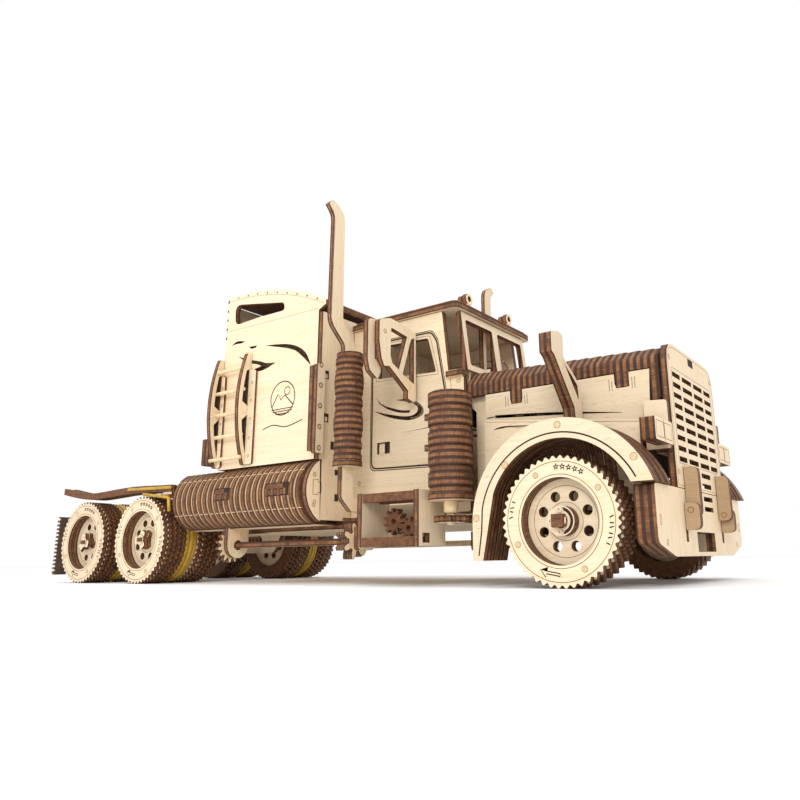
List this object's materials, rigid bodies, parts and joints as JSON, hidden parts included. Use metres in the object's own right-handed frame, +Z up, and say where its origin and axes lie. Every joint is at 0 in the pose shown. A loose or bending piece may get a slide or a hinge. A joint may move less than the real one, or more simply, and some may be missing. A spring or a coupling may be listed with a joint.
{
  "type": "wooden 3d jigsaw model",
  "caption": "Mechanical model truck of laser-cut plywood: tractor unit with sleeper, opening bonnet and doors, steered front wheels and geared rear axles",
  "frame": {"origin": "on the ground, under the centre of the truck's box", "axes": "+X forward, +Y to the driver's left, +Z up"},
  "size_m": [0.41, 0.1574, 0.1902],
  "materials": {
    "plywood_face": "pale sanded plywood face, engraved lines",
    "burnt_edge": "laser-burnt laminated edges"
  },
  "bodies": {
    "chassis": {"air_cleaner_left": "burnt_edge", "air_cleaner_right": "burnt_edge", "bumper": "plywood_face", "bumper_guard_left": "plywood_face", "bumper_guard_right": "plywood_face", "cab_roof": "plywood_face", "cab_side_left": "plywood_face", "cab_side_right": "plywood_face", "chassis_floor": "plywood_face", "engine_block": "plywood_face", "exhaust_left": "burnt_edge", "exhaust_right": "burnt_edge", "fifth_wheel_base": "plywood_face", "firewall": "plywood_face", "frame_rail_left": "plywood_face", "frame_rail_right": "plywood_face", "front_axle_beam": "plywood_face", "front_fender_left": "plywood_face", "front_fender_right": "plywood_face", "fuel_tank_left": "burnt_edge", "fuel_tank_right": "burnt_edge", "grille_plate": "plywood_face", "headlight_left": "plywood_face", "headlight_right": "plywood_face", "hood_mirror_left": "plywood_face", "hood_mirror_right": "plywood_face", "ladder_left": "plywood_face", "ladder_right": "plywood_face", "mudguard_left": "burnt_edge", "mudguard_right": "burnt_edge", "rear_crossmember": "plywood_face", "selector_bracket": "plywood_face", "sleeper_back": "plywood_face", "sleeper_front": "plywood_face", "sleeper_roof": "burnt_edge", "sleeper_side_left": "plywood_face", "sleeper_side_right": "plywood_face", "step_box_left": "plywood_face", "step_box_right": "plywood_face", "windshield_frame": "plywood_face"},
    "hood": {"hood_top": "burnt_edge", "hood_side_left": "plywood_face", "hood_side_right": "plywood_face"},
    "door_left": {"door_left": "plywood_face"},
    "door_right": {"door_right": "plywood_face"},
    "knuckle_left": {"knuckle_left": "plywood_face"},
    "knuckle_right": {"knuckle_right": "plywood_face"},
    "front_wheel_left": {"front_wheel_left": "burnt_edge"},
    "front_wheel_right": {"front_wheel_right": "burnt_edge"},
    "tie_rod": {"tie_rod": "plywood_face"},
    "rear_axle_1": {"rear_axle_1": "burnt_edge", "rear_wheel_1_left": "burnt_edge", "rear_wheel_1_right": "burnt_edge"},
    "rear_axle_2": {"rear_axle_2": "burnt_edge", "rear_wheel_2_left": "burnt_edge", "rear_wheel_2_right": "burnt_edge"},
    "idler": {"idler_gear": "burnt_edge"},
    "fifth_wheel": {"fifth_wheel": "plywood_face"},
    "fan": {"fan": "plywood_face"},
    "selector_shaft": {"selector_shaft": "plywood_face"}
  },
  "joints": [
    {"name": "hood_open", "type": "hinge", "parent": "chassis", "child": "hood", "pos_m": [0.1015, 0, 0.1005], "axis": [0, -1, 0], "range_deg": [0, 55]},
    {"name": "door_left_open", "type": "hinge", "parent": "chassis", "child": "door_left", "pos_m": [0.088, 0.0369, 0.085], "axis": [0, 0, -1], "range_deg": [0, 16]},
    {"name": "door_right_open", "type": "hinge", "parent": "chassis", "child": "door_right", "pos_m": [0.088, -0.0369, 0.085], "axis": [0, 0, 1], "range_deg": [0, 16]},
    {"name": "steer_left", "type": "hinge", "parent": "chassis", "child": "knuckle_left", "pos_m": [0.163, 0.05, 0.0249], "axis": [0, 0, 1], "range_deg": [-12, 12]},
    {"name": "steer_right", "type": "hinge", "parent": "chassis", "child": "knuckle_right", "pos_m": [0.163, -0.05, 0.0249], "axis": [0, 0, 1], "range_deg": [-12, 12]},
    {"name": "tie_rod_slide", "type": "slide", "parent": "chassis", "child": "tie_rod", "axis": [0, 1, 0], "range_m": [-0.0039, 0.0039]},
    {"name": "front_wheel_left_spin", "type": "hinge", "parent": "knuckle_left", "child": "front_wheel_left", "pos_m": [0.163, 0.05, 0.0249], "axis": [0, 1, 0], "continuous": true},
    {"name": "front_wheel_right_spin", "type": "hinge", "parent": "knuckle_right", "child": "front_wheel_right", "pos_m": [0.163, -0.05, 0.0249], "axis": [0, 1, 0], "continuous": true},
    {"name": "rear_axle_1_spin", "type": "hinge", "parent": "chassis", "child": "rear_axle_1", "pos_m": [-0.1077, 0, 0.0249], "axis": [0, 1, 0], "continuous": true},
    {"name": "rear_axle_2_spin", "type": "hinge", "parent": "chassis", "child": "rear_axle_2", "pos_m": [-0.1693, 0, 0.0249], "axis": [0, 1, 0], "continuous": true},
    {"name": "idler_spin", "type": "hinge", "parent": "chassis", "child": "idler", "pos_m": [-0.1385, 0, 0.0249], "axis": [0, 1, 0], "continuous": true},
    {"name": "fan_spin", "type": "hinge", "parent": "chassis", "child": "fan", "pos_m": [0.177, 0, 0.062], "axis": [1, 0, 0], "continuous": true},
    {"name": "selector_turn", "type": "hinge", "parent": "chassis", "child": "selector_shaft", "pos_m": [0, -0.05, 0.0204], "axis": [1, 0, 0], "range_deg": [-45, 45]},
    {"name": "fifth_wheel_tilt", "type": "hinge", "parent": "chassis", "child": "fifth_wheel", "pos_m": [-0.138, 0, 0.053], "axis": [0, 1, 0], "range_deg": [-10, 10]}
  ],
  "couplings": [
    {"joint": "steer_right", "follows": "steer_left", "ratio": 1},
    {"joint": "tie_rod_slide", "follows": "steer_left", "m_per_rad": -0.018},
    {"joint": "rear_axle_2_spin", "follows": "rear_axle_1_spin", "ratio": 1},
    {"joint": "idler_spin", "follows": "rear_axle_1_spin", "ratio": -0.63158},
    {"joint": "fan_spin", "follows": "rear_axle_1_spin", "ratio": 1}
  ]
}
